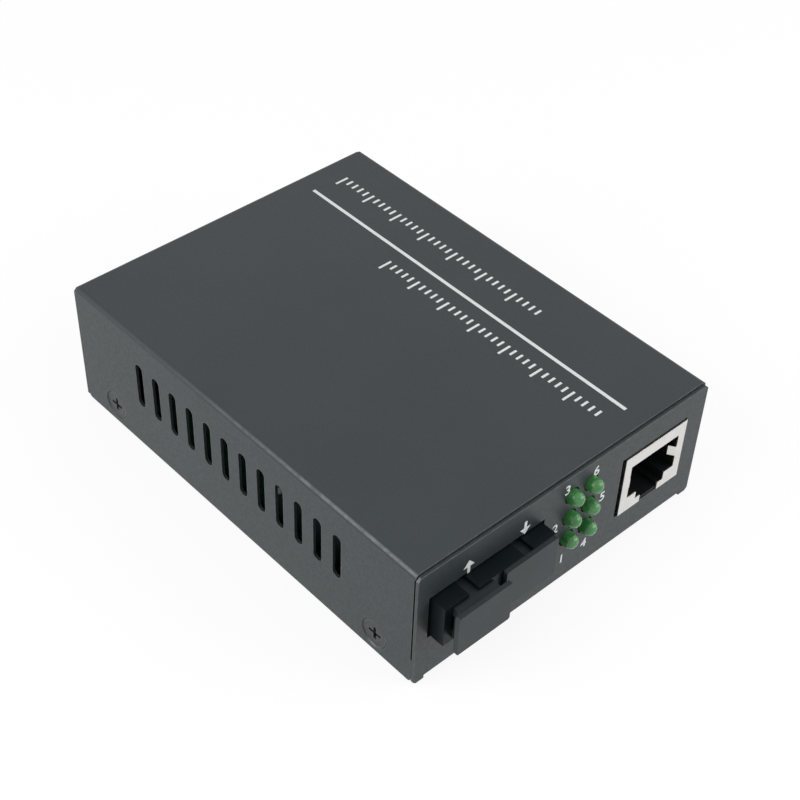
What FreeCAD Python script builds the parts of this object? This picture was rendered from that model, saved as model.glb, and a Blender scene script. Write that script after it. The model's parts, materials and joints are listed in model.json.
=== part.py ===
"""Fibre media converter: a folded steel case with a copper network jack and a duplex fibre port.

Millimetres. The origin is the centre of the case's underside. -Y is the front, where the
ports and lamps are, +X is the side of the copper jack, and +Z is up.
"""

import FreeCAD, Part
import math
import os
import re
import Sketcher
from FreeCAD import Placement, Rotation, Vector

doc = FreeCAD.newDocument("media_converter")
sheet = doc.addObject("Spreadsheet::Sheet", "Sizes")

SIZES = {
    # the case
    "case_width": 70, "case_depth": 94, "case_height": 27,
    "steel": 0.6, "bend": 0.4, "gap": 0.1,
    "panel_drop": 0.5, "panel_corner": 0.6, "cover_corner": 0.8, "side_gap": 0.25, "seam_low": 5.8,
    "tongue_width": 65.2, "flange_depth": 84, "flange_height": 8,
    "vent_width": 2.1, "vent_height": 10.1, "vent_low": 10.5, "vent_pitch": 5.01, "vent_shift": 0.1,
    # the cover's screws
    "screw_y": 37, "screw_z": 4.2, "screw_sink": 0.25, "head_radius": 2.8, "thread_radius": 1.5,
    "thread_gap": 0.05, "screw_length": 4, "collar_radius": 2.3, "collar_depth": 0.8,
    "cross_width": 0.7, "cross_span": 3, "cross_depth": 0.9,
    # the circuit board and what holds it
    "board_width": 64, "board_depth": 86, "board_low": 5.8, "board_thick": 1.6,
    "notch_depth": 1.8, "notch_width": 7, "pin_hole": 0.8, "pin_width": 0.5, "pin_tail": 1.2,
    "post_radius": 2.75, "post_foot": 2.1, "post_hole": 1.6, "pan_radius": 2.6, "pan_height": 1.9,
    "pan_bevel": 0.7, "pan_screw_length": 5, "post_front_x": 10.3, "post_front_y": -37.5, "post_side_x": 27,
    "post_middle_y": -3, "post_rear_y": 37,
    # the copper network jack
    "jack_x": 22.25, "jack_width": 16.1, "jack_height": 13.6, "jack_depth": 21, "jack_proud": 0.2,
    "jack_lip": 0.3, "jack_play_left": 0.9, "jack_play_top": 0.5, "can": 0.25,
    "mouth_width": 12.5, "mouth_low": 10.5, "mouth_high": 18.3, "mouth_wall": 1,
    "key_width": 7.5, "key_low": 8.75, "latch_width": 4.7, "latch_floor": 0.5, "socket_depth": 13,
    "comb_width": 8.9, "comb_high": 20.1, "comb_drop": 1.4, "contact_pitch": 1.02,
    "contact_rear": 2.9, "contact_front": 5.4, "contact_turn": 1.5, "contact_tip_y": 9,
    "contact_tip_z": 15.8, "wire": 0.4,
    "finger_low": 13.2, "finger_high": 15.4, "finger_reach": 0.9, "finger_crest": 1.2,
    "finger_length": 3.6, "tab_back": 4, "tab_half": 0.6, "tab_rise": 1, "shield_back_rise": 2,
    # the indicator lamps
    "lamp_x": 0.5, "lamp_pitch_x": 4.7, "lamp_z": 11.1, "lamp_pitch_z": 5.25,
    "lamp_radius": 1.5, "lamp_rim": 1.9, "lamp_rim_thick": 1, "lamp_length": 4.8,
    "lamp_proud": 2.45, "lamp_hole": 1.75, "lead_pitch": 2.54, "lead_width": 0.5,
    "lead_gap": 1, "holder_width": 9.6, "holder_depth": 6, "holder_high": 23.8, "holder_wall": 1,
    # the duplex optical module
    "optic_x": -19.2, "optic_z": 15.3, "optic_pitch": 12.7, "nose_width": 25.4, "nose_height": 9,
    "nose_proud": 3.2, "nose_depth": 11.2, "module_depth": 39.6, "module_low": 7.8,
    "optic_window_gap": 0.5, "port_width": 9.1, "port_height": 7.5, "port_lip": 3,
    "port_inside": 10.9, "port_depth": 13, "keyway_width": 2.2, "keyway_depth": 4,
    "hook_plate": 1, "hook_arm": 0.7, "hook_height": 2.8, "hook_length": 9.4, "hook_tip": 1,
    "hook_reach": 3.95, "sleeve_radius": 2.45, "ferrule_radius": 1.25, "sleeve_length": 8,
    "module_pin_pitch": 2.54, "module_pin_back": 3, "stud_radius": 0.8, "stud_inset": 1.5,
    "stud_back": 20.2,
    # the dust plugs
    "plug_flange_width": 12.1, "plug_flange": 0.9, "plug_gap": 0.05, "plug_clearance": 0.1,
    "plug_stem": 7, "plug_wall": 0.9, "plug_slot_height": 3.4, "plug_slot_start": 1.8,
    "plug_pulled": 2,
    # the power inlet
    "power_x": 18, "power_width": 9, "power_height": 11, "power_rise": 6.5, "power_depth": 14.2,
    "power_face": 3.3, "power_bore": 3.2, "power_bore_depth": 9.6, "power_pin": 1.05,
    "power_pin_sunk": 0.8, "power_hole": 4.1, "power_tab": 2.2, "power_tab_thick": 0.5,
    "power_tab_rear": 1.2, "power_tab_front": 7.2, "power_tab_side": 4.2, "power_tab_inset": 0.6,
    # the electronics on the board
    "stand_off": 0.1, "lead_thick": 0.2, "lead_reach": 1,
    "chip_x": -4, "chip_y": 8, "chip_side": 10, "chip_height": 1.4, "chip_lead_pitch": 0.8,
    "coil_x": 21.9, "coil_y": -17, "coil_width": 9.5, "coil_depth": 12.7, "coil_height": 6,
    "coil_lead_pitch": 1.5,
    "crystal_x": -14, "crystal_y": -4, "crystal_length": 11, "crystal_width": 4.6,
    "crystal_height": 2.4, "crystal_rim": 0.4,
    "tank_x": 26.5, "tank_y": 8, "tank_pitch": 9, "tank_radius": 3.15, "tank_height": 11,
    "tank_groove": 2.6, "tank_crimp": 0.35,
    "regulator_x": 15, "regulator_y": 12, "regulator_width": 3.5, "regulator_depth": 6.5,
    "regulator_height": 1.6, "regulator_lead_pitch": 2.3,
    "inductor_x": 15, "inductor_y": 23, "inductor_side": 7, "inductor_height": 3.2, "inductor_button": 2.6,
    "small_length": 1.6, "small_width": 0.8, "small_height": 0.5, "small_pitch": 2.4,
    "resistor_x": -22, "resistor_y": 12, "ceramic_x": -4, "ceramic_y": 24, "ceramic_height": 0.8,
}

for row, (name, size) in enumerate(SIZES.items(), start=1):
    sheet.set(f"A{row}", name.replace("_", " "))
    sheet.set(f"B{row}", str(size))
    sheet.setAlias(f"B{row}", name)
doc.recompute()

# Places that many pieces share, as formulas of the sheet's sizes.
FRONT = "(-case_depth / 2)"
BOARD_TOP = "(board_low + board_thick)"
PANEL_TOP = "(case_height - panel_drop)"
NOSE_FRONT = f"({FRONT} - nose_proud)"
JACK_FRONT = f"({FRONT} - jack_proud)"
LAMP_BACK = f"({FRONT} - lamp_proud + lamp_length)"
PORT_BACK = f"({NOSE_FRONT} + port_depth)"

DIRECTIONS = {
    "+x": Vector(1, 0, 0), "-x": Vector(-1, 0, 0),
    "+y": Vector(0, 1, 0), "-y": Vector(0, -1, 0),
    "+z": Vector(0, 0, 1), "-z": Vector(0, 0, -1),
}

subparts = []


# ---- formulas, placing and plain solids ----

def formula(text):
    """The formula with the sheet's name in front of each of its cells."""
    return re.sub(r"[a-z]\w*", lambda word: "Sizes." + word.group(), str(text))


def value(text):
    """What the formula comes to."""
    return float(sheet.evalExpression(formula(text)))


def bind(thing, **formulas):
    """Bind properties of thing to the sheet."""
    for name, text in formulas.items():
        thing.setExpression(name, formula(text))


def place(thing, x=0, y=0, z=0, facing="+z"):
    """Put thing's own origin at a point, with its own Z along facing."""
    thing.Placement = Placement(Vector(), Rotation(Vector(0, 0, 1), DIRECTIONS[facing]))
    for axis, text in zip("xyz", (x, y, z)):
        thing.setExpression(f".Placement.Base.{axis}", formula(text))


def block(name, x, y, z):
    """A box between two bounds on each axis."""
    box = doc.addObject("Part::Box", name)
    bind(box, Length=f"({x[1]}) - ({x[0]})", Width=f"({y[1]}) - ({y[0]})",
         Height=f"({z[1]}) - ({z[0]})")
    place(box, x[0], y[0], z[0])
    return box


def rod(name, start, facing, radius, length):
    """A cylinder that starts at a point and runs in the direction of facing."""
    cylinder = doc.addObject("Part::Cylinder", name)
    bind(cylinder, Radius=radius, Height=length)
    place(cylinder, *start, facing)
    return cylinder


def taper(name, start, facing, radii, length):
    """A cone between two radii that starts at a point and runs in the direction of facing."""
    cone = doc.addObject("Part::Cone", name)
    bind(cone, Radius1=radii[0], Radius2=radii[1], Height=length)
    place(cone, *start, facing)
    return cone


def join(name, *things):
    fuse = doc.addObject("Part::MultiFuse", name)
    fuse.Shapes = list(things)
    return fuse


def cut(name, base, *tools):
    difference = doc.addObject("Part::Cut", name)
    difference.Base = base
    difference.Tool = tools[0] if len(tools) == 1 else join(name + "_tools", *tools)
    return difference


def group(name, *things):
    """Separate solids that are one sub-part."""
    compound = doc.addObject("Part::Compound", name)
    compound.Links = list(things)
    return compound


def copy(name, master, x=0, y=0, z=0, facing="+z"):
    """The master, made about its own origin, set down at another place."""
    link = doc.addObject("App::Link", name)
    link.LinkedObject = master
    place(link, x, y, z, facing)
    return link


def subpart(thing, label):
    """Name a finished piece and list it for export."""
    thing.Label = label
    subparts.append(thing)
    return thing


# ---- sketches and features ----

def origin_feature(body, role):
    return next(item for item in body.Origin.OriginFeatures if item.Role == role)


def new_body(name):
    return doc.addObject("PartDesign::Body", name)


def new_sketch(body, name, plane, offset=0):
    """A sketch on one of the body's own planes, moved along the plane's normal.

    The XY plane's sketch looks along -Z with X and Y, the XZ plane's has X and Z and the
    normal -Y, and the YZ plane's has Y and Z and the normal +X.
    """
    sketch = body.newObject("Sketcher::SketchObject", name)
    sketch.AttachmentSupport = [(origin_feature(body, plane + "_Plane"), "")]
    sketch.MapMode = "FlatFace"
    sketch.setExpression(".AttachmentOffset.Base.z", formula(offset))
    return sketch


def hold(sketch, kind, geometry, point, text):
    """Hold one coordinate of a point of the sketch at a formula's value."""
    index = sketch.addConstraint(Sketcher.Constraint(kind, -1, 1, geometry, point, value(text)))
    sketch.setExpression(f"Constraints[{index}]", formula(text))


def outline(sketch, corners):
    """A closed outline of straight lines through corners, each a pair of formulas."""
    points = [Vector(value(x), value(y), 0) for x, y in corners]
    first = sketch.GeometryCount
    for start, end in zip(points, points[1:] + points[:1]):
        sketch.addGeometry(Part.LineSegment(start, end), False)
    for index, (x, y) in enumerate(corners):
        follower = first + (index + 1) % len(corners)
        sketch.addConstraint(Sketcher.Constraint("Coincident", first + index, 2, follower, 1))
        hold(sketch, "DistanceX", first + index, 1, x)
        hold(sketch, "DistanceY", first + index, 1, y)


def rectangle(sketch, x, y):
    """A rectangle between two bounds on each of the sketch's axes."""
    outline(sketch, [(x[0], y[0]), (x[1], y[0]), (x[1], y[1]), (x[0], y[1])])


def circle(sketch, x, y, radius):
    index = sketch.addGeometry(Part.Circle(Vector(value(x), value(y), 0), Vector(0, 0, 1),
                                           value(radius)), False)
    hold(sketch, "DistanceX", index, 3, x)
    hold(sketch, "DistanceY", index, 3, y)
    size = sketch.addConstraint(Sketcher.Constraint("Radius", index, value(radius)))
    sketch.setExpression(f"Constraints[{size}]", formula(radius))


def upright_slot(sketch, x, low, width, height):
    """A slot with full round ends, centred on x and standing on low."""
    centre, radius = value(x), value(width) / 2
    bottom, top = value(low) + radius, value(low) + value(height) - radius
    ends = {bottom: (math.pi, 2 * math.pi), top: (0, math.pi)}
    arcs = [sketch.addGeometry(Part.ArcOfCircle(
        Part.Circle(Vector(centre, level, 0), Vector(0, 0, 1), radius), *span), False)
        for level, span in ends.items()]
    right = sketch.addGeometry(Part.LineSegment(Vector(centre + radius, bottom, 0),
                                                Vector(centre + radius, top, 0)), False)
    left = sketch.addGeometry(Part.LineSegment(Vector(centre - radius, top, 0),
                                               Vector(centre - radius, bottom, 0)), False)
    for joint in ((arcs[0], 2, right, 1), (right, 2, arcs[1], 1),
                  (arcs[1], 2, left, 1), (left, 2, arcs[0], 1)):
        sketch.addConstraint(Sketcher.Constraint("Tangent", *joint))
    hold(sketch, "DistanceX", arcs[0], 3, x)
    hold(sketch, "DistanceY", arcs[0], 3, f"({low}) + ({width}) / 2")
    hold(sketch, "DistanceX", arcs[1], 3, x)
    hold(sketch, "DistanceY", arcs[1], 3, f"({low}) + ({height}) - ({width}) / 2")
    size = sketch.addConstraint(Sketcher.Constraint("Radius", arcs[0], radius))
    sketch.setExpression(f"Constraints[{size}]", formula(f"({width}) / 2"))


def add_feature(body, kind, name, **formulas):
    feature = body.newObject("PartDesign::" + kind, name)
    bind(feature, **formulas)
    return feature


def pad(body, name, sketch, length, midplane=False, backwards=False):
    feature = add_feature(body, "Pad", name, Length=length)
    feature.Profile = sketch
    feature.SideType = "Symmetric" if midplane else "One side"
    feature.Reversed = backwards
    doc.recompute()
    return feature


def check_cut(feature, before):
    """Stop if a cut has taken nothing away."""
    if feature.Shape.Volume > before - 1e-3:
        raise RuntimeError("cuts nothing: " + feature.Name)


def pocket(body, name, sketch, length=None, forwards=False):
    """A cut from the sketch: through everything both ways, or to a depth against its normal."""
    before = body.Shape.Volume
    feature = add_feature(body, "Pocket", name)
    feature.Profile = sketch
    if length is None:
        feature.Type = "ThroughAll"
        feature.SideType = "Symmetric"
    else:
        bind(feature, Length=length)
        feature.Reversed = forwards
    doc.recompute()
    check_cut(feature, before)
    return feature


def pattern(body, name, features, axis, pitch, count):
    """The features again, count times in all, along one of the body's axes."""
    feature = add_feature(body, "LinearPattern", name)
    feature.Originals = features
    feature.Direction = (origin_feature(body, axis + "_Axis"), [""])
    feature.Mode = "Spacing"
    feature.Occurrences = count
    bind(feature, Offset=pitch)
    body.Tip = feature
    doc.recompute()
    return feature


def mirror(body, name, features, plane):
    feature = add_feature(body, "Mirrored", name)
    feature.Originals = features
    feature.MirrorPlane = (origin_feature(body, plane + "_Plane"), [""])
    body.Tip = feature
    doc.recompute()
    return feature


def edges_at(feature, **places):
    """Names of the feature's edges whose middle has the given coordinates, signs aside."""
    names = []
    for index, edge in enumerate(feature.Shape.Edges, start=1):
        middle = edge.CenterOfMass
        if all(abs(abs(getattr(middle, axis)) - abs(value(text))) < 0.01
               for axis, text in places.items()):
            names.append(f"Edge{index}")
    return names


def lengthwise_edges(feature):
    """Names of the feature's straight edges that run along Y."""
    return [f"Edge{number}" for number, edge in enumerate(feature.Shape.Edges, start=1)
            if edge.BoundBox.YLength > 0.9 * edge.Length]


def round_edges(body, name, base, radius, edges):
    feature = add_feature(body, "Fillet", name, Radius=radius)
    feature.Base = (base, edges)
    doc.recompute()
    return feature


def channel(sketch, half, low, high, thick, opens_up):
    """The section of a sheet folded into a U about the sketch's vertical axis."""
    floor, rim = (low, high) if opens_up else (high, low)
    inner = f"{low} + ({thick})" if opens_up else f"{high} - ({thick})"
    inside = f"{half} - ({thick})"
    outline(sketch, [
        (f"-({half})", rim), (f"-({half})", floor), (half, floor), (half, rim),
        (inside, rim), (inside, inner), (f"-({inside})", inner), (f"-({inside})", rim),
    ])


# ---- the case ----

VENTS = 12
FLANGE_OUTSIDE = "(case_width / 2 - steel - gap)"
FLANGE_INSIDE = f"({FLANGE_OUTSIDE} - steel)"
POST_PLACES = [
    ("post_front_x", "post_front_y"), ("-post_side_x", "post_middle_y"),
    ("-post_side_x", "post_rear_y"), ("post_side_x", "post_rear_y"),
]


def sink_screw_seats(body, outside):
    """Cut the conical seats of the four countersunk heads into the sheet that ends at x = outside."""
    deepest = "case_width / 2 - screw_sink - head_radius - thread_gap + thread_radius"
    mouth = f"{outside} - ({deepest}) + thread_radius"
    seats = []
    for name, y in (("rear", "screw_y"), ("front", "-screw_y")):
        before = body.Shape.Volume
        profile = new_sketch(body, name + "_seat_profile", "XY", "screw_z")
        outline(profile, [(outside, y), (outside, f"{y} + {mouth}"),
                          (deepest, f"{y} + thread_radius"), (deepest, y)])
        seat = add_feature(body, "Groove", name + "_seat")
        seat.Profile = profile
        seat.ReferenceAxis = (profile, ["Edge4"])
        doc.recompute()
        check_cut(seat, before)
        seats.append(seat)
    mirror(body, "seats_on_both_sides", seats, "YZ")


def make_base_tray():
    """One folded sheet: front panel, floor and rear panel, with a low flange along each side."""
    body = new_body("base_tray")
    length = new_sketch(body, "length_section", "YZ")
    channel(length, "case_depth / 2", "0", PANEL_TOP, "steel", True)
    run = pad(body, "panels_and_floor", length, "tongue_width", midplane=True)
    run = round_edges(body, "panel_bends_outside", run, "bend + steel",
                      edges_at(run, y="case_depth / 2", z="0", x="0"))
    round_edges(body, "panel_bends_inside", run, "bend",
                edges_at(run, y="case_depth / 2 - steel", z="steel", x="0"))

    width = new_sketch(body, "width_section", "XZ")
    channel(width, FLANGE_OUTSIDE, "0", "flange_height", "steel", True)
    run = pad(body, "floor_and_flanges", width, "flange_depth", midplane=True)
    run = round_edges(body, "flange_bends_outside", run, "bend + steel",
                      edges_at(run, x=FLANGE_OUTSIDE, z="0", y="0"))
    round_edges(body, "flange_bends_inside", run, "bend",
                edges_at(run, x=FLANGE_INSIDE, z="steel", y="0"))

    bent, side, tongue = "bend + steel", "case_width / 2", "tongue_width / 2"  # outer halves
    for name, offset in (("front_panel", "case_depth / 2 - steel"), ("rear_panel", "-case_depth / 2")):
        face = new_sketch(body, name + "_outline", "XZ", offset)
        right = [(f"({side} - panel_corner)", PANEL_TOP), (side, f"{PANEL_TOP} - panel_corner"),
                 (side, "panel_corner"), (f"({side} - panel_corner)", "0"), (tongue, "0"),
                 (tongue, bent)]
        outline(face, right + [("-" + x, z) for x, z in reversed(right)])
        pad(body, name, face, "steel")

    cut_panel_openings(body)

    posts = new_sketch(body, "post_holes", "XY")
    for x, y in POST_PLACES:
        circle(posts, x, y, "post_foot")
    pocket(body, "post_cut_outs", posts)

    collar = new_sketch(body, "collars", "YZ", f"{FLANGE_INSIDE} - collar_depth")
    threads = new_sketch(body, "threads", "YZ")
    for y in ("screw_y", "-screw_y"):
        circle(collar, y, "screw_z", "collar_radius")
        circle(threads, y, "screw_z", "thread_radius")
    drawn = pad(body, "thread_collars", collar, "collar_depth + steel / 2")
    mirror(body, "collars_on_both_sides", [drawn], "YZ")
    pocket(body, "threaded_holes", threads)
    sink_screw_seats(body, FLANGE_OUTSIDE)
    subpart(body, "base_tray")


def cut_panel_openings(body):
    """The front panel's two port windows and six lamp holes, and the rear panel's inlet hole."""
    ports = new_sketch(body, "front_openings", "XZ", "case_depth / 2 + steel")
    rectangle(ports, ("jack_x - jack_width / 2 - jack_play_left", "jack_x + jack_width / 2 + gap"),
              (f"{BOARD_TOP} - jack_lip - gap", f"{BOARD_TOP} + jack_height + jack_play_top"))
    rectangle(ports, ("optic_x - nose_width / 2 - optic_window_gap",
                      "optic_x + nose_width / 2 + optic_window_gap"),
              ("optic_z - nose_height / 2 - optic_window_gap",
               "optic_z + nose_height / 2 + optic_window_gap"))
    for column in range(LAMP_COLUMNS):
        for line in range(LAMP_LINES):
            circle(ports, *lamp_centre(column, line), "lamp_hole")
    pocket(body, "front_cut_outs", ports, "3 * steel")

    inlet = new_sketch(body, "rear_opening", "XZ", "-case_depth / 2 + 2 * steel")
    circle(inlet, "power_x", f"{BOARD_TOP} + power_rise", "power_hole")
    pocket(body, "power_cut_out", inlet, "3 * steel")


def make_top_cover():
    """One folded sheet, open below: the top and both sides, slotted, and screwed on from the sides."""
    body = new_body("top_cover")
    low, end = "2 * gap", "case_depth / 2 - steel - gap"
    section = new_sketch(body, "section", "XZ")
    channel(section, "case_width / 2", low, "case_height", "steel", False)
    run = pad(body, "folded_sheet", section, f"2 * ({end})", midplane=True)
    run = round_edges(body, "bends_outside", run, "bend + steel",
                      edges_at(run, x="case_width / 2", z="case_height", y="0"))
    run = round_edges(body, "bends_inside", run, "bend",
                      edges_at(run, x="case_width / 2 - steel", z="case_height - steel", y="0"))
    round_edges(body, "lower_corners", run, "cover_corner", edges_at(run, y=end, z=low))

    seam = new_sketch(body, "seam", "YZ")
    rectangle(seam, (f"-({end}) - gap", f"-({end}) + side_gap"),
              ("seam_low", "case_height - steel - bend"))
    pocket(body, "front_seam", seam)

    slot = new_sketch(body, "vent_outline", "YZ")
    upright_slot(slot, f"vent_shift - {(VENTS - 1) / 2} * vent_pitch", "vent_low", "vent_width",
                 "vent_height")
    first = pocket(body, "vent", slot)
    pattern(body, "vents", [first], "Y", "vent_pitch", VENTS)
    sink_screw_seats(body, "case_width / 2 + gap")
    subpart(body, "top_cover")


def phillips(name, head_face, width, span, depth):
    """The tool of a cross recess, about the Z axis, that goes down from head_face."""
    arms = []
    for index, (across, along) in enumerate(((width, span), (span, width))):
        arms.append(block(f"{name}_arm_{index}", (f"-{across} / 2", f"{across} / 2"),
                          (f"-{along} / 2", f"{along} / 2"),
                          (f"{head_face} - {depth}", f"{head_face} + gap")))
    return join(name, *arms)


def make_cover_screws():
    """Four countersunk screws. The master's head faces +Z, with its rim at z = 0."""
    shank = "thread_radius - thread_gap"
    head = taper("flat_head", (0, 0, f"-(head_radius - ({shank}))"), "+z", (shank, "head_radius"),
                 f"head_radius - ({shank})")
    thread = rod("flat_thread", (0, 0, "-screw_length"), "+z", shank, "screw_length")
    recess = phillips("flat_cross", "0", "cross_width", "cross_span", "cross_depth")
    screw = cut("flat_screw", join("flat_blank", head, thread), recess)
    outer = "(case_width / 2 - screw_sink)"
    screws = [copy(f"cover_screw_{side}{end}", screw, x=f"{side}{outer}", y=f"{end}screw_y",
                   z="screw_z", facing=side + "x") for side in "+-" for end in "+-"]
    subpart(group("cover_screw_set", *screws), "cover_screws")


# ---- the circuit board and its fixings ----

def lamp_centre(column, line):
    return f"lamp_x + {column} * lamp_pitch_x", f"lamp_z + {line} * lamp_pitch_z"


def pin_places():
    """Where the small holes for leads and pins go through the board."""
    places = [(f"optic_x + {step} * module_pin_pitch", MODULE_PIN_Y) for step in MODULE_STEPS]
    places += [(x, CONTACT_TAILS[step % 2]) for step, x in enumerate(CONTACT_COLUMNS)]
    places += [(x, y) for x in LEAD_COLUMNS for y in LEAD_LINES]
    return places


def make_circuit_board():
    """A flat board with screw holes, pin holes, and notches that clear the cover's screws."""
    body = new_body("circuit_board")
    sheet_outline = new_sketch(body, "board_outline", "XY", "board_low")
    rectangle(sheet_outline, ("-board_width / 2", "board_width / 2"),
              ("-board_depth / 2", "board_depth / 2"))
    pad(body, "board", sheet_outline, "board_thick")
    openings = new_sketch(body, "board_openings", "XY", BOARD_TOP)
    for x, y in POST_PLACES:
        circle(openings, x, y, "post_hole")
    for x, y in pin_places():
        rectangle(openings, (f"{x} - pin_hole / 2", f"{x} + pin_hole / 2"),
                  (f"{y} - pin_hole / 2", f"{y} + pin_hole / 2"))
    for x in STUD_COLUMNS:
        circle(openings, x, STUD_Y, "stud_radius + gap")
    for x, y, across, along in POWER_TABS:
        rectangle(openings, (f"{x} - {across} / 2 - gap", f"{x} + {across} / 2 + gap"),
                  (f"{y} - {along} / 2 - gap", f"{y} + {along} / 2 + gap"))
    for side in (-1, 1):
        tab = f"jack_x + {side} * (jack_width - can) / 2"
        rectangle(openings, (f"{tab} - can", f"{tab} + can"),
                  (f"{TAB_Y} - tab_half - gap", f"{TAB_Y} + tab_half + gap"))
        edge = f"{side} * board_width / 2"
        for y in ("screw_y", "-screw_y"):
            rectangle(openings, (f"{edge} - notch_depth", f"{edge} + notch_depth"),
                      (f"{y} - notch_width / 2", f"{y} + notch_width / 2"))
    pocket(body, "holes_and_notches", openings, "board_thick")
    subpart(body, "circuit_board")


def make_board_fixings():
    """Four hexagonal posts riveted into the floor, and the four pan head screws above them."""
    tall = "board_low - steel"
    barrel = doc.addObject("Part::Prism", "post_barrel")
    barrel.Polygon = 6
    bind(barrel, Circumradius="post_radius", Height=tall)
    place(barrel, z="steel")
    foot = rod("post_rivet", (0, 0, 0), "+z", "post_foot", "steel")
    bore = rod("post_thread", (0, 0, "-gap"), "+z", "thread_radius", "board_low + 2 * gap")
    post = cut("post", join("post_blank", barrel, foot), bore)
    posts = [copy(f"post_{index}", post, x, y) for index, (x, y) in enumerate(POST_PLACES)]
    subpart(group("post_set", *posts), "board_standoffs")

    side = rod("pan_side", (0, 0, 0), "+z", "pan_radius", "pan_height - pan_bevel")
    crown = taper("pan_crown", (0, 0, "pan_height - pan_bevel"), "+z",
                  ("pan_radius", "pan_radius - pan_bevel"), "pan_bevel")
    thread = rod("pan_thread", (0, 0, "-pan_screw_length"), "+z", "thread_radius - thread_gap",
                 "pan_screw_length")
    recess = phillips("pan_cross", "pan_height", "cross_width", "cross_span", "cross_depth")
    screw = cut("pan_screw", join("pan_blank", side, crown, thread), recess)
    screws = [copy(f"pan_screw_{index}", screw, x, y, BOARD_TOP)
              for index, (x, y) in enumerate(POST_PLACES)]
    subpart(group("pan_screw_set", *screws), "board_screws")


# ---- bent wires ----

def bent_wire(name, corners, width):
    """A square wire in the plane x = 0, its outline a list of (y, z) corners."""
    body = new_body(name)
    shape = new_sketch(body, name + "_outline", "YZ")
    outline(shape, corners)
    pad(body, name + "_wire", shape, width, midplane=True)
    return body


# ---- the copper network jack ----

JACK_BACK = f"({JACK_FRONT} + jack_depth)"
CONTACT_TAILS = (f"({JACK_BACK} - contact_rear)", f"({JACK_BACK} - contact_front)")
CONTACTS = 8
CONTACT_COLUMNS = [f"jack_x + {step - (CONTACTS - 1) / 2} * contact_pitch" for step in range(CONTACTS)]
TAB_Y = f"({JACK_BACK} - tab_back)"


def mouth_outline(sketch, slot_low):
    """The jack's opening: the plug's own width, the step for its latch, and the latch's slot."""
    widths = ("mouth_width / 2", "key_width / 2", "latch_width / 2")
    right = [(f"jack_x + {widths[0]}", "mouth_high"), (f"jack_x + {widths[0]}", "mouth_low"),
             (f"jack_x + {widths[1]}", "mouth_low"), (f"jack_x + {widths[1]}", "key_low"),
             (f"jack_x + {widths[2]}", "key_low"), (f"jack_x + {widths[2]}", slot_low)]
    left = [(x.replace("+", "-", 1), z) for x, z in reversed(right)]
    outline(sketch, right + left)


def make_rj45_shield():
    """A plated sheet folded round the jack: face, top, sides and back, with two board tabs."""
    body = new_body("rj45_shield")
    left, right = "jack_x - jack_width / 2", "jack_x + jack_width / 2"
    top, foot = f"{BOARD_TOP} + jack_height", f"{BOARD_TOP} - jack_lip"
    shell = new_sketch(body, "shell_section", "XZ", f"-{JACK_BACK}")
    outline(shell, [
        (left, BOARD_TOP), (left, top), (right, top), (right, BOARD_TOP),
        (f"{right} - can", BOARD_TOP), (f"{right} - can", f"{top} - can"),
        (f"{left} + can", f"{top} - can"), (f"{left} + can", BOARD_TOP),
    ])
    pad(body, "shell", shell, "jack_depth")
    face = new_sketch(body, "face_outline", "XZ", f"-{JACK_FRONT} - can")
    rectangle(face, (left, right), (foot, top))
    pad(body, "face", face, "can")
    end = new_sketch(body, "back_outline", "XZ", f"-{JACK_BACK}")
    rectangle(end, (left, right), (f"{BOARD_TOP} + shield_back_rise", top))
    pad(body, "back", end, "can")
    mouth = new_sketch(body, "mouth_outline", "XZ", f"-{JACK_FRONT} + can")
    mouth_outline(mouth, f"{foot} - gap")
    pocket(body, "mouth", mouth, "3 * can")

    # a springy finger folded in from each side of the mouth, and a tab below each side
    for name, side, tab in (("right", "+", f"{right} - can"), ("left", "-", left)):
        def inwards(distance):
            return f"jack_x {side} (mouth_width / 2 - ({distance}))"
        finger = new_sketch(body, name + "_finger_outline", "XY", "(finger_low + finger_high) / 2")
        outline(finger, [
            (inwards("-can"), JACK_FRONT), (inwards("can / 2"), JACK_FRONT),
            (inwards("finger_reach"), f"{JACK_FRONT} + finger_crest"),
            (inwards("can"), f"{JACK_FRONT} + finger_length"),
            (inwards("0"), f"{JACK_FRONT} + finger_length"),
            (inwards("finger_reach - can"), f"{JACK_FRONT} + finger_crest"),
            (inwards("0"), f"{JACK_FRONT} + can"), (inwards("-can"), f"{JACK_FRONT} + can"),
        ])
        pad(body, name + "_finger", finger, "finger_high - finger_low", midplane=True)
        blade = new_sketch(body, name + "_tab_outline", "YZ", tab)
        rectangle(blade, (f"{TAB_Y} - tab_half", f"{TAB_Y} + tab_half"),
                  ("board_low - pin_tail", f"{BOARD_TOP} + tab_rise"))
        pad(body, name + "_tab", blade, "can")
    subpart(body, "rj45_shield")


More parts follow.
